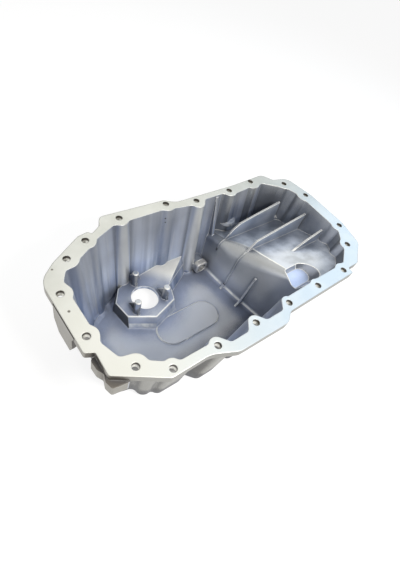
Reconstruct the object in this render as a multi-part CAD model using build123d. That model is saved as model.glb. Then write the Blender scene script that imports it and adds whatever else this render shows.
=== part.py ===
from build123d import *
from collections import namedtuple
import math
import os

# Engine oil pan, die-cast aluminium, in millimetres.
# The casting is drawn in its rail frame: X along the engine from the first bolt of the near row, Y across it,
# Z up, with the machined rail face at z = 0 and the sump hanging below it.
# It is then moved so that the origin is the middle of its footprint, on the surface that it rests on.

# Bolt rail
bolt_hole_diameter = 8.0
row_pitch = 54.0
rail_thickness = 9.0

# One entry for each rail bolt, counter-clockwise seen from above, starting at the near row.
# reach is how far the column inside the wall stands in from the bolt's centre.
# setback_after and setback_before are how far in from the line of bolts the wall lies,
# just after this bolt and just before the next one. Less than zero is outside that line.
Bolt = namedtuple("Bolt", "x y reach setback_after setback_before")

left_pair_x = -102.5
right_pair_x = 282.5
far_left_pair_y = 192.5
far_mid_pair_y = 182.5

rail = [
    Bolt(0.0, 0.0, 9.5, -4.0, -4.0),
    Bolt(row_pitch, 0.0, 9.0, -3.5, -3.5),
    Bolt(2 * row_pitch, 0.0, 9.0, 7.0, 8.0),
    Bolt(3 * row_pitch, 0.0, 10.0, 8.5, 8.5),
    Bolt(4 * row_pitch, 0.0, 11.5, 1.0, 4.0),
    Bolt(262.0, 28.5, 11.0, 8.5, 4.0),
    Bolt(right_pair_x, 60.0, 13.0, 10.5, 10.5),
    Bolt(right_pair_x, 129.5, 15.0, 7.5, 8.0),
    Bolt(267.0, 163.0, 12.0, 10.0, -1.0),
    Bolt(215.5, 186.5, 14.5, 9.0, 9.0),
    Bolt(169.5, far_mid_pair_y, 11.0, 2.0, 2.0),
    Bolt(110.5, far_mid_pair_y, 12.0, 7.0, 10.0),
    Bolt(68.0, far_left_pair_y, 12.5, 8.0, 8.0),
    Bolt(1.0, far_left_pair_y, 12.0, 3.0, 7.5),
    Bolt(-50.0, 176.0, 12.0, 10.0, 10.5),
    Bolt(-78.5, 160.5, 13.0, 1.5, 1.0),
    Bolt(left_pair_x, 123.0, 12.0, 8.0, 8.0),
    Bolt(left_pair_x, 70.0, 12.0, 3.5, -2.5),
    Bolt(-80.0, 22.0, 13.0, 6.8, 6.8),
    Bolt(-52.0, 3.0, 10.5, 3.5, 5.7),
]

# Outside edge of the rail as (x, y, corner radius), counter-clockwise from the near left.
# Its three steps inward are the locating notches.
rail_outline = [
    (-58.0, -4.2, 9.0),
    (-12.0, -4.2, 30.0),
    (16.5, -16.9, 14.0),
    (88.0, -18.7, 14.0),
    (101.0, -9.2, 12.0),
    (225.5, -9.2, 2.0),
    (225.5, -1.0, 3.0),
    (247.0, -1.0, 5.0),
    (282.0, 23.0, 16.0),
    (291.5, 62.0, 25.0),
    (291.5, 126.0, 40.0),
    (281.5, 171.0, 16.0),
    (255.0, 176.5, 8.0),
    (245.0, 192.5, 12.0),
    (180.0, 189.3, 60.0),
    (82.5, 190.3, 20.0),
    (69.0, 199.3, 12.0),
    (-20.0, 203.0, 9.0),
    (-26.0, 190.0, 2.5),
    (-38.5, 182.5, 1.5),
    (-42.0, 186.5, 2.0),
    (-54.5, 184.5, 6.0),
    (-93.0, 161.0, 16.0),
    (-112.4, 144.0, 24.0),
    (-112.4, 56.0, 3.0),
    (-103.4, 51.5, 2.0),
    (-104.2, 26.5, 4.0),
]

# Wall, and the round columns that it forms about the bolts
wall = 4.0
wall_draft = 8.0
column_wrap = 52.0
column_share = 0.78
column_root_radius = 6.5
radius_step = 0.5

# Deep sump and the shelf beside it. The shelf falls away from the near row.
sump_depth = 118.0
floor_thickness = 4.5
floor_fillet = 7.0
inner_foot_steps = 2
outer_foot_steps = 1
shelf_near_depth = 11.5
shelf_fall = 0.295
block_right_x = 340.0
block_below = 25.0

# One entry for each section through the end wall between them.
# foot_x is where it would meet the floor if that corner were sharp.
EndWall = namedtuple("EndWall", "y foot_x shoulder_radius")

end_wall_lean = 0.08
end_wall = [
    EndWall(-40.0, 161.0, 9.0),
    EndWall(35.0, 153.5, 10.0),
    EndWall(78.0, 145.0, 19.0),
    EndWall(105.0, 141.0, 23.5),
    EndWall(125.0, 138.5, 20.0),
    EndWall(142.0, 137.0, 12.0),
    EndWall(240.0, 137.0, 9.0),
]

# Level-sensor platform, with its opening and three blind screw posts
sensor_centre = (16.0, 136.0)
sensor_bore_diameter = 37.0
sensor_bolt_circle = 53.0
sensor_bolt_start = 93.0
sensor_bolt_count = 3
sensor_thread_drill = 5.0
sensor_thread_depth = 20.0
platform_height = 17.0
platform_plate = 5.0
platform_edge = 1.2
platform_fillet = 3.0
recess_wall = 4.0
post_radius = 4.4
post_height = 24.0
post_round = 1.3
fin_thickness = 3.2
fin_long = 17.0
fin_short = 6.5

# One entry for each side of the platform: the way that it faces, in degrees, and how far
# it stands from the middle of the opening at the top and at the foot.
PlatformSide = namedtuple("PlatformSide", "bearing top foot")

platform_sides = [
    PlatformSide(21.6, 35.8, 38.0),
    PlatformSide(62.1, 34.7, 37.0),
    PlatformSide(107.2, 34.8, 37.0),
    PlatformSide(142.6, 36.7, 39.0),
    PlatformSide(187.8, 36.8, 40.0),
    PlatformSide(241.4, 30.3, 38.0),
    PlatformSide(288.2, 30.5, 36.5),
    PlatformSide(337.9, 39.4, 42.0),
]

# Ledge that carries the platform up to the far wall
ledge_left = (27.0, 164.0)
ledge_inner = (56.5, 138.5)
ledge_right = (95.5, 160.0)
ledge_rise = 14.0
ledge_side_slope = 20.0

# Low pad on the sump floor
pad_left_x = 27.0
pad_right_x = 83.0
pad_y = 82.0
pad_radius = 21.5
pad_height = 1.6

# Pocket in the shelf, beside the near wall
pocket_outline = [
    (163.0, 50.0, 6.0),
    (203.5, 50.0, 17.0),
    (203.5, 15.0, 17.0),
    (153.0, 15.0, 4.0),
]
pocket_depth = 10.5
pocket_taper = 4.5

# Ribs of the shelf and of the end wall
rib_thickness = 2.8
rib_near_y = 70.3
rib_middle_y = 106.5
rib_far_y = 144.5

# Drain boss, plug and washer. The drain lies along Y, through the far wall.
drain_x = 124.0
drain_depth = 107.0
drain_face_y = 145.5
drain_collar_y = 153.5
drain_seat_y = 172.0
drain_block = 20.0
drain_block_round = 5.0
drain_collar_radius = 11.5
drain_hole_diameter = 14.0
plug_shank_diameter = 13.8
plug_shank_length = 22.0
plug_head_flats = 19.0
plug_head_height = 8.0
washer_diameter = 22.0
washer_bore_diameter = 14.2
washer_thickness = 2.0

# Outside of the gearbox end
tongue_thickness = 5.0
tongue_outline = [
    (73.5, -2.0),
    (78.0, -13.0),
    (78.0, -27.0),
    (84.0, -41.0),
    (108.0, -41.0),
    (117.0, -26.0),
    (117.0, -2.0),
]
corner_ledge_outline = [
    (-108.5, 52.0, 3.0),
    (-108.0, 40.0, 4.0),
    (-104.5, 33.0, 3.0),
    (-107.0, 26.0, 3.0),
    (-105.0, 17.5, 3.0),
    (-88.0, 15.0, 2.0),
    (-88.0, 52.0, 2.0),
]
corner_ledge_top = 9.0
corner_ledge_bottom = 24.0


def unit(start, end):
    """Unit direction from one plan point to the next."""
    length = math.hypot(end[0] - start[0], end[1] - start[1])
    return ((end[0] - start[0]) / length, (end[1] - start[1]) / length)


def along(point, direction, distance, normal=(0.0, 0.0), offset=0.0):
    """Plan point reached by going a distance one way and an offset the other way."""
    return (
        point[0] + direction[0] * distance + normal[0] * offset,
        point[1] + direction[1] * distance + normal[1] * offset,
    )


def corner_geometry(corners):
    """For each corner of an outline the run that follows it, the way along that run and half of its turn."""
    runs = []
    ways = []
    for index, (x, y, _) in enumerate(corners):
        after = corners[(index + 1) % len(corners)]
        runs.append(math.hypot(after[0] - x, after[1] - y))
        ways.append(unit((x, y), after))
    halves = []
    for index in range(len(corners)):
        way_in = ways[index - 1]
        way_out = ways[index]
        sine = way_in[0] * way_out[1] - way_in[1] * way_out[0]
        cosine = way_in[0] * way_out[0] + way_in[1] * way_out[1]
        halves.append(abs(math.atan2(sine, cosine)) / 2)
    return runs, ways, halves


def fitted_radii(outlines):
    """Corner radii that fit in all of these outlines.

    Where two arcs need more than the run between them, both get smaller.
    """
    radii = [radius for _, _, radius in outlines[0]]
    for outline in outlines:
        runs, _, halves = corner_geometry(outline)
        for index, run in enumerate(runs):
            after = (index + 1) % len(runs)
            needed = radii[index] * math.tan(halves[index]) + radii[after] * math.tan(halves[after])
            share = min(1.0, 0.94 * run / needed)
            radii[index] *= share
            radii[after] *= share
    return radii


def rounded_wire(corners, z):
    """Closed wire at height z through (x, y, radius) corners, with an arc at each."""
    _, ways, halves = corner_geometry(corners)
    arcs = []
    for index, ((x, y, _), radius) in enumerate(zip(corners, fitted_radii([corners]))):
        tangent = radius * math.tan(halves[index])
        way_in = ways[index - 1]
        way_out = ways[index]
        inward = unit((0, 0), (way_out[0] - way_in[0], way_out[1] - way_in[1]))
        start = along((x, y), way_in, -tangent)
        middle = along((x, y), inward, math.hypot(radius, tangent) - radius)
        end = along((x, y), way_out, tangent)
        arcs.append([(*point, z) for point in (start, middle, end)])
    edges = []
    for index, (start, middle, end) in enumerate(arcs):
        edges.append(ThreePointArc(start, middle, end))
        edges.append(Line(end, arcs[(index + 1) % len(arcs)][0]))
    return Wire(edges)


def rounded_prism(corners, bottom, top):
    """Upright prism over a rounded outline."""
    return extrude(Face(rounded_wire(corners, bottom)), amount=top - bottom, dir=(0, 0, 1))


def meeting(first, second):
    """Where two plan lines meet, each given as a point and a direction."""
    (ax, ay), (bx, by) = first
    (cx, cy), (dx, dy) = second
    share = ((cx - ax) * dy - (cy - ay) * dx) / (bx * dy - by * dx)
    return (ax + bx * share, ay + by * share)


def turned(way, degrees):
    """Direction turned to the left."""
    cosine = math.cos(math.radians(degrees))
    sine = math.sin(math.radians(degrees))
    return (way[0] * cosine - way[1] * sine, way[0] * sine + way[1] * cosine)


def wall_corners(inset, skin):
    """Corners of the wavy wall line, three for each bolt: where its column starts, its tip and where it ends.

    The column is round about the bolt's centre. The lines between the columns move in by the inset, and
    each column moves in with them. Then every line moves out by the skin.
    """
    ways = []
    for index, bolt in enumerate(rail):
        after = rail[(index + 1) % len(rail)]
        ways.append(unit((bolt.x, bolt.y), (after.x, after.y)))
    runs = []
    flanks = []
    for index, bolt in enumerate(rail):
        before = rail[index - 1]
        after = rail[(index + 1) % len(rail)]
        way_in = ways[index - 1]
        way_out = ways[index]
        normal = (-way_out[1], way_out[0])
        start = along((bolt.x, bolt.y), normal, bolt.setback_after + inset - skin)
        end = along((after.x, after.y), normal, bolt.setback_before + inset - skin)
        runs.append((start, unit(start, end)))
        shift = inset / (1 + way_in[0] * way_out[0] + way_in[1] * way_out[1])
        shift_x = bolt.x - (way_in[1] + way_out[1]) * shift
        shift_y = bolt.y + (way_in[0] + way_out[0]) * shift
        wrap_in = column_share * math.degrees(math.acos(before.setback_before / bolt.reach))
        wrap_out = column_share * math.degrees(math.acos(bolt.setback_after / bolt.reach))
        for way, wrap in ((way_in, min(wrap_in, column_wrap)), (way_out, -min(wrap_out, column_wrap))):
            flank = turned(way, wrap)
            touch = along((shift_x, shift_y), (-flank[1], flank[0]), bolt.reach - skin)
            flanks.append((touch, flank))
    corners = []
    for index, bolt in enumerate(rail):
        rising = flanks[2 * index]
        falling = flanks[2 * index + 1]
        corners.append((*meeting(runs[index - 1], rising), column_root_radius + skin))
        corners.append((*meeting(rising, falling), bolt.reach - skin))
        corners.append((*meeting(falling, runs[index]), column_root_radius + skin))
    return corners


def drafted_tub(skin):
    """Solid inside the wavy wall, from the rail face to a flat bottom with a rounded foot.

    A skin of zero gives the inside of the pan, and the wall as the skin gives its outside, which starts
    under the rail. The wall has flat sides, the edges between them are rounded, and the foot is set below it.
    """
    slope = math.tan(math.radians(wall_draft))
    top = -rail_thickness if skin > 0 else 0.0
    floor = -sump_depth - (floor_thickness if skin > 0 else 0.0)
    low = floor + floor_fillet
    steps = outer_foot_steps if skin > 0 else inner_foot_steps
    upper = wall_corners(-top * slope, skin)
    lower = wall_corners(-low * slope, skin)
    high_points = [Vector(x, y, top) for x, y, _ in upper]
    low_points = [Vector(x, y, low) for x, y, _ in lower]
    sides = []
    groups = {}
    for index, radius in enumerate(fitted_radii([upper, lower])):
        after = (index + 1) % len(upper)
        around = (high_points[index], high_points[after], low_points[after], low_points[index])
        sides.append(Face(Wire.make_polygon(around)))
        middle = (high_points[index] + low_points[index]) * 0.5
        rounded = max(math.floor(radius / radius_step), 1) * radius_step
        groups.setdefault(rounded, []).append(middle)
    caps = [Face(Wire.make_polygon(high_points)), Face(Wire.make_polygon(low_points))]
    tub = Solid(Shell(sides + caps))
    for radius, middles in groups.items():
        found = []
        for middle in middles:
            found.append(min(tub.edges(), key=lambda edge: (edge.center() - middle).length))
        tub = tub.fillet(radius, found)
    rings = [tub.faces().sort_by(Axis.Z)[0].outer_wire()]
    for step in range(steps):
        turn = math.radians(90 * (step + 1) / steps)
        inset = -low * slope + floor_fillet * (1 - math.cos(turn))
        rings.append(rounded_wire(wall_corners(inset, skin), low - floor_fillet * math.sin(turn)))
    return tub + Solid.make_loft(rings, ruled=True)


def shelf_height(y):
    """Height of the sloping shelf at a place across the engine."""
    return -shelf_near_depth - shelf_fall * y


def end_wall_section(section, skin):
    """Closed wire round the block under the shelf, at one place across the engine."""
    top = shelf_height(section.y)
    length = math.hypot(1.0, end_wall_lean)
    normal = (1 / length, -end_wall_lean / length)

    def wall_x(z):
        return section.foot_x + (z + sump_depth) * end_wall_lean

    foot_z = floor_fillet - sump_depth
    foot_x = wall_x(foot_z) - floor_fillet * length
    foot_radius = floor_fillet + skin
    shoulder_z = top - section.shoulder_radius
    shoulder_x = wall_x(shoulder_z) + section.shoulder_radius * length
    shoulder_radius = section.shoulder_radius - skin

    def place(centre, radius, direction):
        way = unit((0, 0), direction)
        return (centre[0] + radius * way[0], section.y, centre[1] + radius * way[1])

    foot = (foot_x, foot_z)
    shoulder = (shoulder_x, shoulder_z)
    floor_point = place(foot, foot_radius, (0, -1))
    foot_middle = place(foot, foot_radius, (normal[0], normal[1] - 1))
    wall_low = place(foot, foot_radius, normal)
    wall_high = place(shoulder, shoulder_radius, (-normal[0], -normal[1]))
    shoulder_middle = place(shoulder, shoulder_radius, (-normal[0], 1 - normal[1]))
    shelf_point = place(shoulder, shoulder_radius, (0, 1))
    bottom = -sump_depth - block_below
    corners = [
        shelf_point,
        (block_right_x, section.y, shelf_point[2]),
        (block_right_x, section.y, bottom),
        (foot_x, section.y, bottom),
        floor_point,
    ]
    edges = [Line(start, end) for start, end in zip(corners, corners[1:])]
    edges.append(ThreePointArc(floor_point, foot_middle, wall_low))
    edges.append(Line(wall_low, wall_high))
    edges.append(ThreePointArc(wall_high, shoulder_middle, shelf_point))
    return Wire(edges)


def shelf_block(skin):
    """Everything under the shelf and behind the end wall."""
    return Solid.make_loft([end_wall_section(section, skin) for section in end_wall], ruled=True)


def platform_wire(share, growth, z):
    """Closed wire round the sensor platform. A share of 0 is its top and 1 its foot, grown by the growth."""
    lines = []
    for side in platform_sides:
        angle = math.radians(side.bearing)
        facing = (math.cos(angle), math.sin(angle))
        distance = side.top + share * (side.foot - side.top) + growth
        lines.append((along(sensor_centre, facing, distance), (-facing[1], facing[0])))
    points = [(*meeting(lines[index - 1], line), z) for index, line in enumerate(lines)]
    return Wire.make_polygon(points)


def upright_plate(points, place, thickness, across):
    """Flat plate over an outline. Across the engine it is drawn in Y and Z, and along it in X and Z."""
    if across:
        plane = Plane(origin=(place, 0, 0), x_dir=(0, 1, 0), z_dir=(1, 0, 0))
    else:
        plane = Plane(origin=(0, place, 0), x_dir=(1, 0, 0), z_dir=(0, -1, 0))
    outline = plane * make_face(Polyline(*points, close=True))
    return extrude(outline, amount=thickness / 2, both=True)


def sensor_posts():
    """The three screw posts, each with a fin before and behind it."""
    pieces = []
    top = -sump_depth + platform_height
    for index in range(sensor_bolt_count):
        angle = math.radians(sensor_bolt_start + 360 / sensor_bolt_count * index)
        x = sensor_centre[0] + sensor_bolt_circle / 2 * math.cos(angle)
        y = sensor_centre[1] + sensor_bolt_circle / 2 * math.sin(angle)
        post = Cylinder(post_radius, post_height + 2)
        post = chamfer(post.edges().sort_by(Axis.Z)[-1], post_round)
        pieces.append(Pos(x, y, top - 2 + (post_height + 2) / 2) * post)
        fin = [
            (y - fin_short, top - 2),
            (y - fin_short, top),
            (y - post_radius + 1, top + post_height * 0.5),
            (y, top + post_height - 3),
            (y + fin_long, top),
            (y + fin_long, top - 2),
        ]
        pieces.append(upright_plate(fin, x, fin_thickness, across=True))
    return pieces


def platform():
    """Eight-sided platform of the level sensor, with a bevelled rim and a rounded foot."""
    top = -sump_depth + platform_height
    sections = [
        platform_wire(1.0, platform_fillet, -sump_depth - 3),
        platform_wire(1.0, platform_fillet, -sump_depth),
        platform_wire(1.0, 0.3 * platform_fillet, -sump_depth + 0.3 * platform_fillet),
        platform_wire(1.0, 0.0, -sump_depth + platform_fillet),
        platform_wire(0.0, 0.4 * platform_edge, top - platform_edge),
        platform_wire(0.0, -0.6 * platform_edge, top),
    ]
    return Solid.make_loft(sections, ruled=True)


def ledge():
    """Ledge from the platform up to the far wall, with a sloping top and a sloping free side."""
    slope = math.tan(math.radians(ledge_side_slope))
    way = unit(ledge_inner, ledge_right)
    normal = (-way[1], way[0])
    base = -sump_depth + platform_height
    sections = []
    for rise in (-platform_height - 8, 2 * ledge_rise):
        start = along(ledge_inner, way, -10, normal, rise * slope)
        end = along(ledge_right, way, 24, normal, rise * slope)
        back = end[1] + 40
        points = [start, end, (end[0], back), (ledge_left[0], back), (ledge_left[0], start[1])]
        sections.append(Wire.make_polygon([(*point, base + rise) for point in points]))
    prism = Solid.make_loft(sections, ruled=True)
    low = Vector(*ledge_left, base)
    across = Vector(*ledge_inner, base) - low
    apex = along(ledge_right, normal, ledge_rise * slope)
    up = Vector(*apex, base + ledge_rise) - low
    return split(prism, bisect_by=Plane(origin=low, z_dir=across.cross(up)), keep=Keep.BOTTOM)


def pad():
    """Low stadium-shaped pad on the sump floor."""
    length = pad_right_x - pad_left_x + 2 * pad_radius
    middle_x = (pad_left_x + pad_right_x) / 2
    outline = Pos(middle_x, pad_y, -sump_depth - 2) * SlotOverall(length, 2 * pad_radius)
    solid = extrude(outline, amount=2 + pad_height)
    return chamfer(solid.edges().group_by(Axis.Z)[-1], 0.9 * pad_height)


def shelf_ribs():
    """The three ribs of the shelf, and the two on the end wall."""
    far_rib = [
        (247.0, -14.5),
        (192.0, -25.5),
        (172.0, -30.0),
        (160.5, -38.5),
        (152.5, -51.5),
        (147.5, -68.0),
        (143.0, -82.0),
        (170.0, -100.0),
        (254.5, -62.0),
    ]
    middle_rib = [
        (265.0, -12.0),
        (224.0, -19.5),
        (193.0, -25.5),
        (170.5, -29.5),
        (161.5, -39.0),
        (153.0, -53.5),
        (146.5, -66.0),
        (143.0, -88.0),
        (138.8, -110.0),
        (133.5, -118.5),
        (160.0, -120.0),
        (264.0, -60.0),
    ]
    near_rib = [
        (262.0, -11.0),
        (234.0, -19.5),
        (206.0, -33.0),
        (230.0, -45.0),
        (267.5, -45.0),
    ]
    foot_rib = [
        (149.0, -62.0),
        (145.0, -86.0),
        (140.0, -109.0),
        (133.0, -118.5),
        (160.0, -120.0),
        (160.0, -62.0),
    ]
    return [
        upright_plate(far_rib, rib_far_y, rib_thickness, across=False),
        upright_plate(middle_rib, rib_middle_y, rib_thickness, across=False),
        upright_plate(near_rib, rib_near_y, rib_thickness, across=False),
        upright_plate(foot_rib, rib_near_y, rib_thickness, across=False),
    ]


def along_drain(start_y, end_y, radius):
    """Round bar on the drain's axis."""
    middle = (start_y + end_y) / 2
    bar = Cylinder(radius, abs(end_y - start_y))
    return Pos(drain_x, middle, -drain_depth) * Rot(90, 0, 0) * bar


def drain_boss():
    """Boss inside the wall that the drain plug screws through."""
    block = Box(drain_block, drain_collar_y + 1 - drain_face_y, drain_block)
    block = fillet(block.edges().filter_by(Axis.Y), drain_block_round)
    block = chamfer(block.edges().group_by(Axis.Y)[0], 1.0)
    block = Pos(drain_x, (drain_face_y + drain_collar_y + 1) / 2, -drain_depth) * block
    return [block, along_drain(drain_collar_y, drain_seat_y, drain_collar_radius)]


def far_wall_details():
    """Tapered fin on the far wall, and the two rounded feet of the columns on the shelf."""
    fin = [(184.0, -1.0), (179.0, -3.0), (163.5, -64.0), (163.5, -80.0), (184.0, -80.0)]
    wide_foot = Cylinder(15.0, 24.0)
    wide_foot = chamfer(wide_foot.edges().sort_by(Axis.Z)[-1], 3.0)
    small_foot = Cylinder(9.0, 20.0)
    small_foot = chamfer(small_foot.edges().sort_by(Axis.Z)[-1], 3.0)
    return [
        upright_plate(fin, 146.0, 4.0, across=True),
        Pos(175.0, 173.0, -58.0) * wide_foot,
        Pos(259.0, 152.0, -57.0) * small_foot,
    ]


def pocket(growth, depth):
    """Tapered pocket of the shelf. It is grown by the wall for its outside."""
    bottom = shelf_height(33.0) - depth
    top = shelf_height(33.0) + 12 - growth
    corners = []
    for x, y, radius in pocket_outline:
        side_x = 1 if x > 180 else -1
        side_y = 1 if y > 33 else -1
        corners.append((x, y, radius, side_x, side_y))

    def ring(spread, z):
        moved = []
        for x, y, radius, side_x, side_y in corners:
            moved.append((x + side_x * spread, y + side_y * spread, max(radius + spread, 1.5)))
        return rounded_wire(moved, z)

    slope = pocket_taper / pocket_depth
    sections = [
        ring(growth + (top - bottom - pocket_depth) * slope, top),
        ring(growth - pocket_taper + 1.0 * slope, bottom + 2.0),
        ring(growth - pocket_taper - 1.5, bottom),
    ]
    return Solid.make_loft(sections, ruled=True)


def oil_pan_casting():
    """The pan as one casting, with its machined holes."""
    outside = drafted_tub(wall) - shelf_block(floor_thickness)
    plate = rounded_prism(rail_outline, -rail_thickness, 0.0)
    tongue = upright_plate(tongue_outline, left_pair_x - 8.0, tongue_thickness, across=True)
    ledge_block = rounded_prism(corner_ledge_outline, -corner_ledge_bottom, -corner_ledge_top)
    seat = along_drain(drain_seat_y - 12, drain_seat_y, washer_diameter / 2 + 2)
    outside = outside + [plate, tongue, ledge_block, seat, pocket(wall, pocket_depth + floor_thickness)]

    cavity = drafted_tub(0.0) - shelf_block(0.0)
    cavity = cavity - [platform(), ledge(), pad(), *sensor_posts()]
    cavity = cavity - [*shelf_ribs(), *drain_boss(), *far_wall_details()]
    cavity = cavity + pocket(0.0, pocket_depth)
    casting = outside - cavity

    cuts = []
    for bolt in rail:
        drill = Cylinder(bolt_hole_diameter / 2, 3 * rail_thickness)
        cuts.append(Pos(bolt.x, bolt.y, -rail_thickness) * drill)
    plate_bottom = -sump_depth + platform_height - platform_plate
    cuts.append(
        Solid.make_loft(
            [
                platform_wire(1.0, -recess_wall, -sump_depth - floor_thickness - 1),
                platform_wire(0.0, -recess_wall, plate_bottom),
            ],
            ruled=True,
        )
    )
    cuts.append(Pos(*sensor_centre, plate_bottom) * Cylinder(sensor_bore_diameter / 2, 40))
    for index in range(sensor_bolt_count):
        angle = math.radians(sensor_bolt_start + 360 / sensor_bolt_count * index)
        x = sensor_centre[0] + sensor_bolt_circle / 2 * math.cos(angle)
        y = sensor_centre[1] + sensor_bolt_circle / 2 * math.sin(angle)
        drill = Cylinder(sensor_thread_drill / 2, sensor_thread_depth + 1)
        cuts.append(Pos(x, y, plate_bottom + (sensor_thread_depth - 1) / 2) * drill)
    cuts.append(along_drain(drain_face_y - 1, drain_seat_y + 1, drain_hole_diameter / 2))
    return casting - cuts


def drain_plug():
    """Hexagon-headed plug, screwed in from outside."""
    head_face = drain_seat_y + washer_thickness
    shank = along_drain(head_face - plug_shank_length, head_face, plug_shank_diameter / 2)
    hexagon = RegularPolygon(plug_head_flats / math.sqrt(3), 6)
    head = extrude(hexagon, amount=plug_head_height)
    head = Pos(drain_x, head_face + plug_head_height, -drain_depth) * Rot(90, 0, 0) * head
    return shank + head


def plug_washer():
    """Flat sealing washer under the plug's head."""
    washer = along_drain(drain_seat_y, drain_seat_y + washer_thickness, washer_diameter / 2)
    return washer - along_drain(drain_seat_y - 1, drain_seat_y + 4, washer_bore_diameter / 2)


pieces = {
    "oil_pan_casting": oil_pan_casting(),
    "drain_plug": drain_plug(),
    "plug_washer": plug_washer(),
}
box = pieces["oil_pan_casting"].bounding_box()
home = Pos(-box.center().X, -box.center().Y, -box.min.Z)
os.makedirs("parts", exist_ok=True)
for name, piece in pieces.items():
    placed = home * piece
    placed.label = name
    export_step(placed, f"parts/{name}.step")
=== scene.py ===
import math

import bmesh
import bpy
from mathutils import Matrix, Vector
from mathutils.bvhtree import BVHTree


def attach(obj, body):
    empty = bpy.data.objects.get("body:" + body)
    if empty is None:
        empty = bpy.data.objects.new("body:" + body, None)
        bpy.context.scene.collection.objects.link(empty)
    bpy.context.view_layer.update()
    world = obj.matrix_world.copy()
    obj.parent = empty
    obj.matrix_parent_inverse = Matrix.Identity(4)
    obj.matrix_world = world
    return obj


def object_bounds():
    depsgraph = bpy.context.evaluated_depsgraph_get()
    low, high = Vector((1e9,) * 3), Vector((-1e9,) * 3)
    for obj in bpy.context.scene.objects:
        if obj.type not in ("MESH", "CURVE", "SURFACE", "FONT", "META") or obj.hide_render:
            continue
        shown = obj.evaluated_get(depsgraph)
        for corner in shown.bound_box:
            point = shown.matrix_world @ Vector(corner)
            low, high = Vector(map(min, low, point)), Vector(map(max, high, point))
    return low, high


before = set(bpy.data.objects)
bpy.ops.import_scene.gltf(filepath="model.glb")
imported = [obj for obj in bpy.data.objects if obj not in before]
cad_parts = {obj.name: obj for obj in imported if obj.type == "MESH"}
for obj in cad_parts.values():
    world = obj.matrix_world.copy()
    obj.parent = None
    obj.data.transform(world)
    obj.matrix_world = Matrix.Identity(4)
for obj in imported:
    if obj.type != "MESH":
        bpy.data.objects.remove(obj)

cad_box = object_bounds()

# All lengths are in metres, in the CAD's frame: x runs along the pan from the deep sump to the shelf,
# y from the near rail to the far one, and z up from the ground that the pan lies on.


def srgb(red, green, blue):
    """Linear colour of an sRGB colour given from 0 to 255."""
    values = []
    for value in (red, green, blue):
        value = value / 255
        values.append(value / 12.92 if value <= 0.04045 else ((value + 0.055) / 1.055) ** 2.4)
    return (*values, 1.0)


# Colours of the inside
FLOOR_DARK = srgb(129, 138, 158)
FLOOR_LIGHT = srgb(149, 158, 179)
# Painted shade on the floor towards the near rail, and a painted shadow in a strip along the near wall
FLOOR_NEAR_SHADE = srgb(112, 122, 145)
FLOOR_SHADOW_STRIP = srgb(78, 84, 100)
SHELF_DARK = srgb(142, 149, 160)
SHELF_LIGHT = srgb(196, 203, 214)
# Painted sheen on the bottom of the pocket and on the slopes of the sump's ledge
POCKET_SHEEN = srgb(198, 212, 240)
LEDGE_SHEEN = srgb(220, 219, 213)
WALL_DARK = srgb(128, 145, 178)
WALL_LIGHT = srgb(216, 228, 252)
WALL_BRIGHT = srgb(240, 241, 242)
WALL_TOP = srgb(164, 167, 175)
# Painted highlight down the middle of the far wall's columns and painted shade down their sides
COLUMN_HIGHLIGHT = srgb(236, 235, 228)
COLUMN_SIDE_SHADE = srgb(96, 104, 124)
END_DARK = srgb(128, 133, 143)
END_LIGHT = srgb(152, 156, 163)
# Painted light that makes the end wall paler at its foot and towards the near rail
END_FOOT_PAINTED_LIGHT = srgb(204, 208, 216)
END_NEAR_PAINTED_LIGHT = srgb(206, 210, 218)
SHOULDER = srgb(112, 116, 122)
# Painted light on the sides of the ribs that face the near rail
RIB_LIT_DARK = srgb(176, 187, 206)
RIB_LIT_LIGHT = srgb(206, 214, 228)
# Painted dark reflection on the sides of the posts
POST_DARK_REFLECTION = srgb(116, 121, 132)
BOSS = srgb(206, 203, 196)

# Colours of painted highlights, of stains, of painted shade in the hollows, and of marks and painted shade
# in deep holes
PAINTED_HIGHLIGHT = srgb(244, 243, 235)
STAIN = srgb(118, 119, 120)
HOLLOW_SHADE = srgb(84, 88, 98)
MARK_AND_HOLE_SHADE = srgb(84, 78, 70)

# Colours of the outside, with its painted shade, and of the milled rail face, with its painted reflection
# and shade
OUTSIDE_DARK = srgb(112, 110, 106)
OUTSIDE_LIGHT = srgb(134, 131, 126)
OUTSIDE_SHADE = srgb(84, 84, 84)
OUTSIDE_WARM = srgb(104, 96, 84)
MILLED_WARM_REFLECTION = srgb(205, 205, 197)
MILLED_COOL_REFLECTION = srgb(182, 193, 200)
MILLED_FAR_SHADE = srgb(174, 176, 170)
MILLED_PALE = srgb(214, 215, 212)

# Heights of the CAD's level faces: the rail's two, the sump's floor, the sensor platform and the low pad
RAIL_Z = cad_box[1][2]
RAIL_UNDERSIDE_Z = RAIL_Z - 0.009
FLOOR_Z = 0.0045
PLATFORM_Z = FLOOR_Z + 0.017
PAD_Z = FLOOR_Z + 0.0016

# Middles of the pocket in the shelf, of the three posts on the platform and of the drain boss
POCKET_CENTRE = (0.0900, -0.0600, 0.0908)
SENSOR_CENTRE = (-0.07325, 0.0439, 0.026)
BOSS_CENTRE = (0.03475, 0.0575, 0.0155)
BOSS_HALF = (0.0103, 0.0050, 0.0103)

# Places along x of two bolts' columns that stand out of the far wall over its whole height, down which a
# highlight and shade are painted
COLUMNS = (-0.0882, 0.0190)

# Pin marks on the rail and pores in the far wall, each with its radius
MARKS = (
    ((-0.1934, 0.0090, RAIL_Z), 0.0017),
    ((-0.1861, 0.0613, RAIL_Z), 0.0014),
    ((-0.0279, 0.0880, 0.1105), 0.0014),
    ((-0.0276, 0.0869, 0.1044), 0.0012),
)

# Places along y of the middle and the far rib
MIDDLE_RIB_Y = 0.0144
FAR_RIB_Y = 0.0524

# Place in x and z of the axis that the shoulder between the end wall and the shelf is rounded about,
# and the angles over it, from level, at which a ridge is laid down
SHOULDER_CENTRE = (0.079, 0.0564)
SHOULDER_DEGREES = range(0, 66, 6)

# Heights on the end wall, above its foot, at which a ridge is laid down
END_WALL_HEIGHTS = [0.012 + 0.003 * step for step in range(15)]


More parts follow.
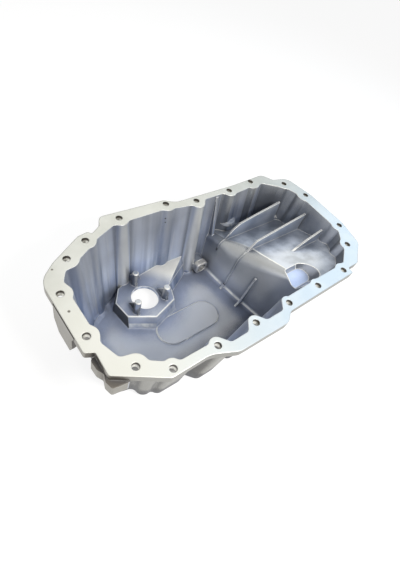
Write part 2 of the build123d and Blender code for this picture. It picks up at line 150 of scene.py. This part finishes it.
class Nodes:
    """A node tree, with short calls to add nodes and to work with their numbers and colours."""

    def __init__(self, tree):
        self.tree = tree
        self.tree.nodes.clear()

    def add(self, kind, inputs=None, **settings):
        """Adds a node. Its inputs, by name or index, take plain values or other nodes' outputs."""
        node = self.tree.nodes.new(kind)
        for name, setting in settings.items():
            setattr(node, name, setting)
        for socket, value in (inputs or {}).items():
            if isinstance(value, bpy.types.NodeSocket):
                self.tree.links.new(value, node.inputs[socket])
            else:
                node.inputs[socket].default_value = value
        return node

    def math(self, operation, first, second=0.0):
        """Result of one step of arithmetic."""
        return self.add("ShaderNodeMath", {0: first, 1: second}, operation=operation).outputs[0]

    def times(self, first, *others):
        """Product of all the numbers."""
        product = first
        for number in others:
            product = self.math("MULTIPLY", product, number)
        return product

    def most(self, first, *others):
        """Largest of the numbers."""
        largest = first
        for number in others:
            largest = self.math("MAXIMUM", largest, number)
        return largest

    def rest(self, share):
        """What is missing from a share to 1."""
        return self.math("SUBTRACT", 1.0, share)

    def off(self, number, middle):
        """How far a number is from a middle, to either side."""
        return self.math("ABSOLUTE", self.math("SUBTRACT", number, middle))

    def ramp(self, number, start, end, first, last):
        """Goes softly from first to last while the number goes from start to end."""
        inputs = {"Value": number, "From Min": start, "From Max": end, "To Min": first, "To Max": last}
        node = self.add("ShaderNodeMapRange", inputs, interpolation_type="SMOOTHSTEP", clamp=True)
        return node.outputs["Result"]

    def rise(self, number, start, end, top=1.0):
        """0 up to start, and top from end on."""
        return self.ramp(number, start, end, 0.0, top)

    def fall(self, number, start, end, top=1.0):
        """Top up to start, and 0 from end on."""
        return self.ramp(number, start, end, top, 0.0)

    def band(self, number, start, full, fading, end, top=1.0):
        """Top between full and fading, and 0 up to start and from end on."""
        return self.times(self.rise(number, start, full), self.fall(number, fading, end, top))

    # A Mix node has inputs and outputs of its own for each type of value, under the same names, so the
    # next two calls name them by index.

    def mix(self, share, first, second):
        """Colour that goes from the first to the second as the share goes from 0 to 1."""
        inputs = {0: share, 6: first, 7: second}
        return self.add("ShaderNodeMix", inputs, data_type="RGBA").outputs[2]

    def mix_numbers(self, share, first, second):
        """Number that goes from the first to the second as the share goes from 0 to 1."""
        inputs = {0: share, 2: first, 3: second}
        return self.add("ShaderNodeMix", inputs, data_type="FLOAT").outputs[0]

    def split(self, vector):
        """The three parts of a vector."""
        return self.add("ShaderNodeSeparateXYZ", {0: vector}).outputs


class Metal(Nodes):
    """A metal's material, with its textures fixed in the object's own axes."""

    def __init__(self, name):
        self.material = bpy.data.materials.new(name)
        self.material.use_nodes = True
        super().__init__(self.material.node_tree)
        self.place = self.add("ShaderNodeTexCoord").outputs["Object"]

    def distance(self, place):
        """Distance of each point from a place."""
        inputs = {0: self.place, 1: place}
        return self.add("ShaderNodeVectorMath", inputs, operation="DISTANCE").outputs["Value"]

    def noise(self, scale, detail=3.0, roughness=0.55, place=None, distortion=0.0):
        """Cloudy pattern of numbers, most of them between 0.3 and 0.7."""
        inputs = {
            "Vector": place or self.place,
            "Scale": scale,
            "Detail": detail,
            "Roughness": roughness,
            "Distortion": distortion,
        }
        return self.add("ShaderNodeTexNoise", inputs).outputs["Fac"]

    def bevelled(self, radius, samples):
        """Normal that is rounded over at the edges."""
        return self.add("ShaderNodeBevel", {"Radius": radius}, samples=samples).outputs["Normal"]

    def bump(self, strength, distance, height, normal):
        """Normal that is roughened by a height."""
        inputs = {"Strength": strength, "Distance": distance, "Height": height, "Normal": normal}
        return self.add("ShaderNodeBump", inputs).outputs["Normal"]

    def finish(self, metallic, colour, roughness, normal):
        """Shader and output. Returns the finished material."""
        inputs = {"Metallic": metallic, "Base Color": colour, "Roughness": roughness, "Normal": normal}
        shader = self.add("ShaderNodeBsdfPrincipled", inputs)
        self.add("ShaderNodeOutputMaterial", {"Surface": shader.outputs[0]})
        return self.material


class Casting(Metal):
    """The casting's skin. Its zones are told apart by their place and by the way that they face."""

    def __init__(self):
        super().__init__("cast_aluminium")
        self.x, self.y, self.z = self.split(self.place)
        self.normal = self.add("ShaderNodeNewGeometry").outputs["Normal"]
        self.normal_x, self.normal_y, self.normal_z = self.split(self.normal)
        self.round_normal = self.bevelled(radius=0.0016, samples=8)
        self.from_pocket = self.distance(POCKET_CENTRE)

        # Patterns: narrow and wide draw marks down the walls, and three that are alike in all directions
        drawn = self.drawn_place()
        self.along_wall = self.split(drawn)["X"]
        self.streaks = self.noise(190.0, detail=5.0, roughness=0.65, place=drawn, distortion=0.1)
        self.bands = self.noise(55.0, place=drawn)
        self.mottle = self.noise(40.0, detail=4.0)
        self.patches = self.noise(14.0, roughness=0.5)
        self.fine = self.noise(900.0, detail=2.0, roughness=0.6)
        self.grain = self.rise(self.mottle, 0.3, 0.7)

        # 0 deep in a hollow, 1 in the open
        self.openness = self.add("ShaderNodeAmbientOcclusion", {"Distance": 0.032}, samples=8).outputs["AO"]

        # Zones that more than one step uses, each as a share from 0 to 1
        levelness = self.math("ABSOLUTE", self.normal_z)
        self.upright = self.fall(levelness, 0.3, 0.6)
        self.plumb = self.fall(levelness, 0.02, 0.04)
        at_rail_face = self.rise(self.z, RAIL_Z - 0.0006, RAIL_Z - 0.0002)
        facing_up = self.rise(self.normal_z, 0.9, 0.97)
        self.milled = self.times(at_rail_face, facing_up)
        self.in_rail = self.rise(self.z, RAIL_UNDERSIDE_Z - 0.0006, RAIL_UNDERSIDE_Z)
        facing_left = self.fall(self.normal_x, -0.75, -0.4)
        right_of_sump = self.rise(self.x, 0.02, 0.04)
        self.on_end_wall = self.times(facing_left, right_of_sump)
        at_shoulder_height = self.rise(self.z, 0.045, 0.055)
        past_end_wall = self.rise(self.x, 0.03, 0.04)
        self.by_shoulder = self.times(at_shoulder_height, past_end_wall)
        self.end_tone = self.end_wall()

    def drawn_place(self):
        """Place on a wall carried up along its draft to the rail, so that marks run straight down."""
        squeeze = 0.06
        depth = self.math("SUBTRACT", RAIL_Z, self.z)
        lean = self.times(depth, self.normal_z)
        x = self.math("SUBTRACT", self.x, self.times(self.normal_x, lean))
        y = self.math("SUBTRACT", self.y, self.times(self.normal_y, lean))
        inputs = {"X": x, "Y": y, "Z": self.times(self.z, squeeze)}
        return self.add("ShaderNodeCombineXYZ", inputs).outputs["Vector"]

    def sump_floor(self):
        """Mottled floor, with painted shade that darkens it towards the near rail and a painted shadow in a
        strip along the near wall.
        """
        # Painted shade towards the near rail, and a painted shadow in a strip along the near wall
        painted_near_side = self.fall(self.y, -0.055, 0.03, top=0.75)
        shadow_strip_width = self.fall(self.y, -0.050, -0.034, top=0.8)
        shadow_strip_length = self.rise(self.x, -0.100, -0.070)
        tone = self.mix(self.grain, FLOOR_DARK, FLOOR_LIGHT)
        tone = self.mix(painted_near_side, tone, FLOOR_NEAR_SHADE)
        return self.mix(self.times(shadow_strip_width, shadow_strip_length), tone, FLOOR_SHADOW_STRIP)

    def shelf(self):
        """Mottled shelf, with a painted sheen that makes the bottom of its pocket paler, and a painted
        sheen on the slopes of the sump's ledge.
        """
        in_pocket = self.fall(self.from_pocket, 0.032, 0.034)
        level = self.rise(self.normal_z, 0.975, 0.99)
        in_sump = self.fall(self.x, 0.0, 0.03)
        sloping = self.fall(self.normal_z, 0.97, 0.995)
        tone = self.mix(self.grain, SHELF_DARK, SHELF_LIGHT)
        tone = self.mix(self.times(in_pocket, level), tone, POCKET_SHEEN)
        return self.mix(self.times(in_sump, sloping), tone, LEDGE_SHEEN)

    def columns(self, tone):
        """Columns of the far wall, with a painted highlight down the middle and painted shade down both
        sides.
        """
        at_far_side = self.rise(self.y, 0.05, 0.06)
        facing_near = self.fall(self.normal_y, -0.5, -0.2)
        far_wall = self.times(at_far_side, facing_near)
        for middle in COLUMNS:
            off = self.off(self.along_wall, middle)
            # Painted shade down both sides of the column, and a painted highlight down its middle
            side = self.band(off, 0.007, 0.010, 0.011, 0.017, top=0.7)
            highlight_crown = self.fall(off, 0.002, 0.007, top=0.75)
            tone = self.mix(self.times(side, far_wall), tone, COLUMN_SIDE_SHADE)
            tone = self.mix(self.times(highlight_crown, far_wall), tone, COLUMN_HIGHLIGHT)
        return tone

    def end_wall(self):
        """End wall between the sump and the shelf, with painted light that makes it paler at its foot and
        towards the near rail.
        """
        painted_foot_light = self.fall(self.z, 0.02, 0.055, top=0.85)
        painted_near_side = self.fall(self.y, -0.06, 0.01, top=0.8)
        tone = self.mix(self.grain, END_DARK, END_LIGHT)
        tone = self.mix(painted_foot_light, tone, END_FOOT_PAINTED_LIGHT)
        return self.mix(painted_near_side, tone, END_NEAR_PAINTED_LIGHT)

    def walls(self):
        """Walls with draw marks and with painted highlight and shade on the columns, the end wall, and a
        painted dark reflection on the sides of the three posts.
        """
        wide_marks = self.rise(self.bands, 0.34, 0.66)
        narrow_marks = self.rise(self.streaks, 0.45, 0.75, top=0.4)
        towards_rail = self.rise(self.z, 0.05, 0.118, top=0.6)
        # Painted dark reflection on the sides of the three posts
        by_posts = self.fall(self.distance(SENSOR_CENTRE), 0.031, 0.032)
        over_platform = self.rise(self.z, PLATFORM_Z + 0.0002, PLATFORM_Z + 0.0015)
        tone = self.mix(wide_marks, WALL_DARK, WALL_LIGHT)
        tone = self.mix(narrow_marks, tone, WALL_BRIGHT)
        tone = self.mix(towards_rail, tone, WALL_TOP)
        tone = self.columns(tone)
        tone = self.mix(self.on_end_wall, tone, self.end_tone)
        return self.mix(self.times(by_posts, over_platform), tone, POST_DARK_REFLECTION)

    def shoulder(self, tone):
        """Round shoulder between the end wall and the shelf, in the end wall's tone where it is steep."""
        turned_left = self.fall(self.normal_x, -0.1, -0.04, top=0.85)
        less_steep = self.rise(self.normal_x, -0.95, -0.6)
        own_tone = self.mix(less_steep, self.end_tone, SHOULDER)
        return self.mix(self.times(self.by_shoulder, turned_left), tone, own_tone)

    def rib_sides(self, tone):
        """Painted light on the plumb sides of the shelf's ribs that face the near rail."""
        on_shelf = self.rise(self.x, 0.05, 0.06)
        facing_near = self.fall(self.normal_y, -0.95, -0.8)
        own_tone = self.mix(self.grain, RIB_LIT_DARK, RIB_LIT_LIGHT)
        return self.mix(self.times(self.plumb, on_shelf, facing_near), tone, own_tone)

    def drain_boss(self, tone):
        """Pale end of the drain boss, inside a close box around it."""
        soft_edge = 0.0004
        share = 0.8
        for number, middle, half in zip((self.x, self.y, self.z), BOSS_CENTRE, BOSS_HALF):
            inside = self.fall(self.off(number, middle), half, half + soft_edge)
            share = self.times(inside, share)
        return self.mix(share, tone, BOSS)

    def edge_highlights(self, tone):
        """Painted highlight along small round edges, inside and outside corners alike, and along the
        pocket's rim.
        """
        inputs = {0: self.round_normal, 1: self.normal}
        flatness = self.add("ShaderNodeVectorMath", inputs, operation="DOT_PRODUCT").outputs["Value"]
        # Painted highlight on the edges
        edges = self.fall(flatness, 0.84, 0.99, top=0.9)
        by_pocket = self.fall(self.from_pocket, 0.036, 0.040)
        slight_edges = self.fall(flatness, 0.95, 0.998)
        share = self.most(edges, self.times(by_pocket, slight_edges))
        return self.mix(share, tone, PAINTED_HIGHLIGHT)

    def on_outside(self):
        """Share of the outer skin."""
        # Outer walls lean in as they go down, and the sides of the rail and of its holes are plumb.
        leaning = self.fall(self.normal_z, -0.06, -0.03)
        rail_side = self.times(self.plumb, self.in_rail)
        # What stands upright and faces away from the middle, from far out, is the rim.
        reach = self.math("ADD", self.times(self.x, self.normal_x), self.times(self.y, self.normal_y))
        rim = self.times(self.upright, self.rise(reach, 0.088, 0.092))
        # The corner ledge is below the rail at the left end.
        far_left = self.fall(self.x, -0.17, -0.165)
        high = self.rise(self.z, 0.085, 0.09)
        corner_ledge = self.times(far_left, high, self.rest(self.upright))
        return self.most(leaning, rail_side, rim, corner_ledge)

    def outside(self, tone):
        """Outer skin, duller and browner, with painted shade that makes it darker low down and on its near
        side.
        """
        # Painted shade low down and on the side that faces the near rail
        low = self.fall(self.z, 0.05, 0.112, top=0.7)
        facing_near = self.fall(self.normal_y, -0.9, -0.5, top=0.75)
        left_end = self.fall(self.x, -0.185, -0.165, top=0.6)
        dull = self.mix(self.grain, OUTSIDE_DARK, OUTSIDE_LIGHT)
        dull = self.mix(low, dull, OUTSIDE_SHADE)
        dull = self.mix(facing_near, dull, OUTSIDE_SHADE)
        dull = self.mix(left_end, dull, OUTSIDE_WARM)
        return self.mix(self.on_outside(), tone, dull)

    def hollows(self, tone):
        """Painted shade in the hollows, thinner on the end wall, and a painted highlight on what stands
        free.
        """
        # Painted shade in the hollows and a painted highlight in the open
        painted_shade = self.fall(self.openness, 0.4, 0.95, top=0.5)
        kept_share = self.ramp(self.on_end_wall, 0.0, 1.0, 1.0, 0.4)
        free = self.rise(self.openness, 0.86, 1.0, top=0.3)
        tone = self.mix(self.times(painted_shade, kept_share), tone, HOLLOW_SHADE)
        return self.mix(free, tone, PAINTED_HIGHLIGHT)

    def crest(self):
        """Share of the painted highlight along the top of the shoulder, strongest in its near half."""
        slope = self.band(self.normal_x, -0.18, -0.1, -0.06, -0.02)
        near_half = self.ramp(self.y, 0.0, 0.03, 0.9, 0.2)
        return self.times(slope, self.by_shoulder, near_half)

    def feet(self):
        """Share of the painted highlight on the fillets at the foot of what faces left or near, and at the
        shelf's right end.
        """
        broken = self.ramp(self.mottle, 0.4, 0.6, 0.3, 1.0)
        fillet = self.times(self.band(self.normal_z, 0.35, 0.5, 0.7, 0.85), broken)
        by_floor = self.fall(self.z, 0.0118, 0.0125)
        turned_left = self.fall(self.normal_x, -0.3, -0.15)
        turned_near = self.fall(self.normal_y, -0.45, -0.3)
        right_end = self.rise(self.x, 0.11, 0.12)
        by_shelf = self.fall(self.z, 0.085, 0.095, top=0.8)
        floor_foot = self.times(fillet, by_floor, self.most(turned_left, turned_near))
        shelf_foot = self.times(fillet, right_end, by_shelf)
        return self.most(floor_foot, shelf_foot)

    def raised_edges(self):
        """Share of the painted highlight on the sloping rim of the platform, and on the edge of the pad
        that faces the far wall.
        """
        sloping = self.band(self.normal_z, 0.2, 0.35, 0.8, 0.94)
        rim_z = self.band(self.z, PLATFORM_Z - 0.0016, PLATFORM_Z - 0.0013, PLATFORM_Z, PLATFORM_Z + 0.0002)
        pad_z = self.fall(self.z, PAD_Z + 0.0001, PAD_Z + 0.0004)
        pad_y = self.band(self.y, -0.04, -0.036, 0.012, 0.014)
        facing_far = self.rise(self.normal_y, -0.05, 0.2)
        return self.most(self.times(sloping, rim_z), self.times(sloping, pad_z, pad_y, facing_far))

    def painted_highlight_strips(self, tone):
        """Painted highlight on the shoulder's crest, the feet and the raised edges, all narrow slopes."""
        strength = 0.85
        share = self.most(self.crest(), self.feet(), self.raised_edges())
        return self.mix(self.times(share, strength), tone, PAINTED_HIGHLIGHT)

    def rail_holes(self, tone):
        """Walls of the rail's holes, with painted shade near the top and a painted highlight below."""
        # Painted shade near the top of the holes' walls and a painted highlight below
        closed_in = self.fall(self.openness, 0.35, 0.6)
        near_top = self.rise(self.z, RAIL_Z - 0.0055, RAIL_Z - 0.0025)
        own_tone = self.mix(near_top, PAINTED_HIGHLIGHT, MARK_AND_HOLE_SHADE)
        return self.mix(self.times(self.plumb, self.in_rail, closed_in), tone, own_tone)

    def rail_face(self):
        """Milled rail face, with a painted reflection that turns it from warm to cool across the pan and
        painted shade that makes it greyer to the far side.
        """
        slant = 0.9
        across = self.math("SUBTRACT", self.x, self.times(self.y, slant))
        # Painted shade towards the far side
        shaded_far_side = self.rise(self.y, -0.04, 0.1, top=0.8)
        clouds = self.rise(self.noise(30.0), 0.35, 0.7, top=0.25)
        tone = self.mix(self.rise(across, -0.12, 0.12), MILLED_WARM_REFLECTION, MILLED_COOL_REFLECTION)
        tone = self.mix(shaded_far_side, tone, MILLED_FAR_SHADE)
        return self.mix(clouds, tone, MILLED_PALE)

    def marks(self, tone):
        """Pin marks and pores, each a dark dot with a soft edge."""
        core = 0.6
        for place, radius in MARKS:
            dot = self.fall(self.distance(place), core * radius, radius, top=0.85)
            tone = self.mix(dot, tone, MARK_AND_HOLE_SHADE)
        return tone

    def colour(self):
        """All zones over each other, the last on top."""
        over_platform = self.rise(self.z, PLATFORM_Z + 0.0002, PLATFORM_Z + 0.0065)
        stained = self.rise(self.patches, 0.4, 0.72, top=0.3)
        level_parts = self.mix(over_platform, self.sump_floor(), self.shelf())
        tone = self.mix(self.upright, level_parts, self.walls())
        tone = self.shoulder(tone)
        tone = self.mix(stained, tone, STAIN)
        tone = self.rib_sides(tone)
        tone = self.drain_boss(tone)
        tone = self.edge_highlights(tone)
        tone = self.outside(tone)
        tone = self.hollows(tone)
        tone = self.painted_highlight_strips(tone)
        tone = self.rail_holes(tone)
        tone = self.mix(self.milled, tone, self.rail_face())
        return self.marks(tone)

    def roughness(self):
        """Rougher on level faces than on walls, and even on the milled face."""
        on_walls = self.ramp(self.mottle, 0.3, 0.7, 0.38, 0.48)
        more_if_level = self.times(self.rest(self.upright), 0.2)
        on_rail_face = 0.5
        return self.mix_numbers(self.milled, self.math("ADD", on_walls, more_if_level), on_rail_face)

    def relief(self):
        """Normal with fine grain and wide draw marks, which the milled face doesn't have."""
        grain_height = self.times(self.fine, 0.3)
        band_height = self.times(self.bands, 0.7)
        height = self.times(self.math("ADD", grain_height, band_height), self.rest(self.milled))
        return self.bump(strength=0.16, distance=0.0004, height=height, normal=self.round_normal)


def as_cast_aluminium():
    """Die-cast skin inside and outside, and the milled rail face on top of it."""
    casting = Casting()
    return casting.finish(
        metallic=0.7,
        colour=casting.colour(),
        roughness=casting.roughness(),
        normal=casting.relief(),
    )


def plated_metal(name, dark, light, roughness):
    """Turned or pressed metal with a fine grain."""
    metal = Metal(name)
    grain = metal.noise(700.0, roughness=0.6)
    patches = metal.noise(120.0)
    colour = metal.mix(metal.rise(patches, 0.3, 0.7), dark, light)
    uneven = metal.ramp(patches, 0.3, 0.7, roughness - 0.07, roughness + 0.07)
    edges = metal.bevelled(radius=0.0006, samples=6)
    normal = metal.bump(strength=0.15, distance=0.0001, height=grain, normal=edges)
    return metal.finish(metallic=0.9, colour=colour, roughness=uneven, normal=normal)


def smooth_group():
    """Modifier that shades the CAD mesh smooth, apart from its real edges."""
    weld_distance = 0.000002
    sharp_angle = math.radians(33)
    group = bpy.data.node_groups.new("smooth_by_angle", "GeometryNodeTree")
    for direction in ("INPUT", "OUTPUT"):
        group.interface.new_socket("Geometry", in_out=direction, socket_type="NodeSocketGeometry")
    nodes = Nodes(group)
    start = nodes.add("NodeGroupInput").outputs[0]
    welded = nodes.add("GeometryNodeMergeByDistance", {"Geometry": start, "Distance": weld_distance})
    smooth = nodes.add("GeometryNodeSetShadeSmooth", {"Geometry": welded.outputs["Geometry"]})
    angle = nodes.add("GeometryNodeInputMeshEdgeAngle").outputs["Unsigned Angle"]
    inputs = {0: angle, 1: sharp_angle}
    sharp = nodes.add("FunctionNodeCompare", inputs, data_type="FLOAT", operation="GREATER_THAN")
    inputs = {
        "Geometry": smooth.outputs["Geometry"],
        "Selection": sharp.outputs["Result"],
        "Shade Smooth": False,
    }
    edges = nodes.add("GeometryNodeSetShadeSmooth", inputs, domain="EDGE")
    nodes.add("NodeGroupOutput", {0: edges.outputs["Geometry"]})
    return group


materials = {
    "oil_pan_casting": as_cast_aluminium(),
    "drain_plug": plated_metal("plug_steel", srgb(150, 150, 150), srgb(184, 184, 182), 0.36),
    "plug_washer": plated_metal("washer_aluminium", srgb(170, 170, 172), srgb(205, 205, 205), 0.42),
}
smoothing = smooth_group()
for name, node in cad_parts.items():
    node.data.materials.clear()
    node.data.materials.append(materials[name])
    modifier = node.modifiers.new("smooth", "NODES")
    modifier.node_group = smoothing
    level = node.modifiers.new("level", "WEIGHTED_NORMAL")
    level.keep_sharp = True


def add_object(name, data):
    """Adds an object to the scene."""
    new_object = bpy.data.objects.new(name, data)
    bpy.context.scene.collection.objects.link(new_object)
    return new_object


def casting_surface():
    """Ray-cast tree of the casting, for a piece that lies on it."""
    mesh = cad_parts["oil_pan_casting"].data
    points = [vertex.co for vertex in mesh.vertices]
    return BVHTree.FromPolygons(points, [tuple(face.vertices) for face in mesh.polygons])


def ridge_line(y, heights):
    """Points and normals of the casting, up its end wall at the given heights and over its shoulder."""
    surface = casting_surface()
    centre_x, centre_z = SHOULDER_CENTRE
    reach = 0.05
    hits = []
    for height in heights:
        start = Vector((centre_x - 2 * reach, y, height))
        hits.append(surface.ray_cast(start, Vector((1, 0, 0)))[:2])
    for degrees in SHOULDER_DEGREES:
        angle = math.radians(degrees)
        outward = Vector((-math.cos(angle), 0, math.sin(angle)))
        start = Vector((centre_x, y, centre_z)) + outward * reach
        hits.append(surface.ray_cast(start, -outward)[:2])
    return hits


def ridge(name, y, heights, rise):
    """Thin cast ridge that runs along x, up the end wall and over its shoulder."""
    half_width = 0.0016
    sink = 0.0003
    section_points = 7
    taper_power = 0.35
    hits = ridge_line(y, heights)
    mesh = bmesh.new()
    rings = []
    for index, (point, normal) in enumerate(hits):
        taper = math.sin(math.pi * (index + 0.5) / len(hits)) ** taper_power
        ring = []
        for step in range(section_points):
            turn = math.pi * step / (section_points - 1)
            aside = Vector((0, math.cos(turn) * half_width, 0))
            up = normal * (math.sin(turn) * rise * taper - sink)
            ring.append(mesh.verts.new(point + aside + up))
        rings.append(ring)
    for lower, upper in zip(rings, rings[1:]):
        for step in range(section_points):
            mesh.faces.new((lower[step - 1], lower[step], upper[step], upper[step - 1]))
    mesh.faces.new(rings[0][::-1])
    mesh.faces.new(rings[-1])
    bmesh.ops.recalc_face_normals(mesh, faces=mesh.faces)
    data = bpy.data.meshes.new(name)
    mesh.to_mesh(data)
    mesh.free()
    data.shade_smooth()
    data.materials.append(materials["oil_pan_casting"])
    piece = add_object(name, data)
    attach(piece, "root")


# The middle rib's ridge runs on down the end wall, and the far rib's ends just under the shoulder.
ridge("middle_ridge", MIDDLE_RIB_Y, END_WALL_HEIGHTS, rise=0.0016)
ridge("far_ridge", FAR_RIB_Y, heights=[0.05], rise=0.0018)


def seen_or_lighting(nodes, seen, lighting):
    """One shader for the camera, for mirror-like surfaces and through glass, and the other as a light."""
    path = nodes.add("ShaderNodeLightPath").outputs
    is_seen = nodes.most(path["Is Camera Ray"], path["Is Glossy Ray"], path["Is Transmission Ray"])
    inputs = {0: is_seen, 1: lighting.outputs[0], 2: seen.outputs[0]}
    return nodes.add("ShaderNodeMixShader", inputs).outputs[0]


def floor_material():
    """Pale grey, lifted to white for the camera by a light of its own, and it keeps the shadow."""
    material = bpy.data.materials.new("floor")
    material.use_nodes = True
    nodes = Nodes(material.node_tree)
    diffuse = nodes.add("ShaderNodeBsdfDiffuse", {"Color": (0.8, 0.8, 0.8, 1)})
    faint = nodes.add("ShaderNodeBsdfDiffuse", {"Color": (0.25, 0.25, 0.25, 1)})
    glow = nodes.add("ShaderNodeEmission", {"Strength": 0.85})
    seen = nodes.add("ShaderNodeAddShader", {0: faint.outputs[0], 1: glow.outputs[0]})
    nodes.add("ShaderNodeOutputMaterial", {"Surface": seen_or_lighting(nodes, seen, diffuse)})
    return material


# Floor
floor_mesh = bpy.data.meshes.new("floor")
half_side = 6.0
corners = [(half_side * x, half_side * y, 0) for x, y in ((-1, -1), (1, -1), (1, 1), (-1, 1))]
floor_mesh.from_pydata(corners, [], [(0, 1, 2, 3)])
floor_mesh.materials.append(floor_material())
floor = add_object("floor", floor_mesh)

# World, white where it is seen and dimmer as a light
world = bpy.data.worlds.new("studio")
bpy.context.scene.world = world
world.use_nodes = True
world_nodes = Nodes(world.node_tree)
white = (1, 1, 1, 1)
backdrop = world_nodes.add("ShaderNodeBackground", {"Color": white, "Strength": 1.0})
fill_light = world_nodes.add("ShaderNodeBackground", {"Color": white, "Strength": 0.35})
world_surface = seen_or_lighting(world_nodes, backdrop, fill_light)
world_nodes.add("ShaderNodeOutputWorld", {"Surface": world_surface})


def lamp(name, place, target, side, power, colour):
    """Soft square lamp that points at a place."""
    data = bpy.data.lights.new(name, "AREA")
    data.shape = "SQUARE"
    data.size = side
    data.energy = power
    data.color = colour
    lamp_object = add_object(name, data)
    direction = Vector(target) - Vector(place)
    lamp_object.rotation_euler = direction.to_track_quat("-Z", "Y").to_euler()
    lamp_object.location = place


lamp("key", (0.3, 0.65, 0.9), target=(0, 0, 0.03), side=0.8, power=2.8, colour=(1.0, 0.97, 0.92))
lamp("front", (-0.05, -0.4, 0.55), target=(0, 0.08, 0.05), side=0.15, power=3.2, colour=(1.0, 0.98, 0.95))
lamp("side", (0.95, 0.1, 0.75), target=(0, 0, 0.05), side=0.6, power=2.2, colour=(0.7, 0.85, 1.0))

# Camera at the photograph's place. The first three values are in pixels of the photograph, and the
# sensor's size is in millimetres.
PHOTO_HEIGHT = 570.0
FOCAL_LENGTH = 370.0
SHIFT_RIGHT = -1.0
SENSOR_SIZE = 36.0
CAMERA_PLACE = Vector((-0.27025, -0.17569, 0.4309))
CAMERA_RIGHT = Vector((0.7709, -0.5908, 0.2380))
CAMERA_BACKWARD = Vector((-0.5235, -0.3748, 0.7651))

camera_data = bpy.data.cameras.new("camera")
camera_data.sensor_fit = "AUTO"
camera_data.sensor_width = SENSOR_SIZE
camera_data.lens = FOCAL_LENGTH / PHOTO_HEIGHT * SENSOR_SIZE
camera_data.shift_x = SHIFT_RIGHT / PHOTO_HEIGHT
camera_data.clip_start = 0.01
camera = add_object("camera", camera_data)
backward = CAMERA_BACKWARD.normalized()
right = (CAMERA_RIGHT - backward * CAMERA_RIGHT.dot(backward)).normalized()
up = backward.cross(right)
turn = Matrix((right, up, backward)).transposed()
camera.matrix_world = Matrix.Translation(CAMERA_PLACE) @ turn.to_4x4()
bpy.context.scene.camera = camera

bpy.context.scene.view_settings.view_transform = "Standard"

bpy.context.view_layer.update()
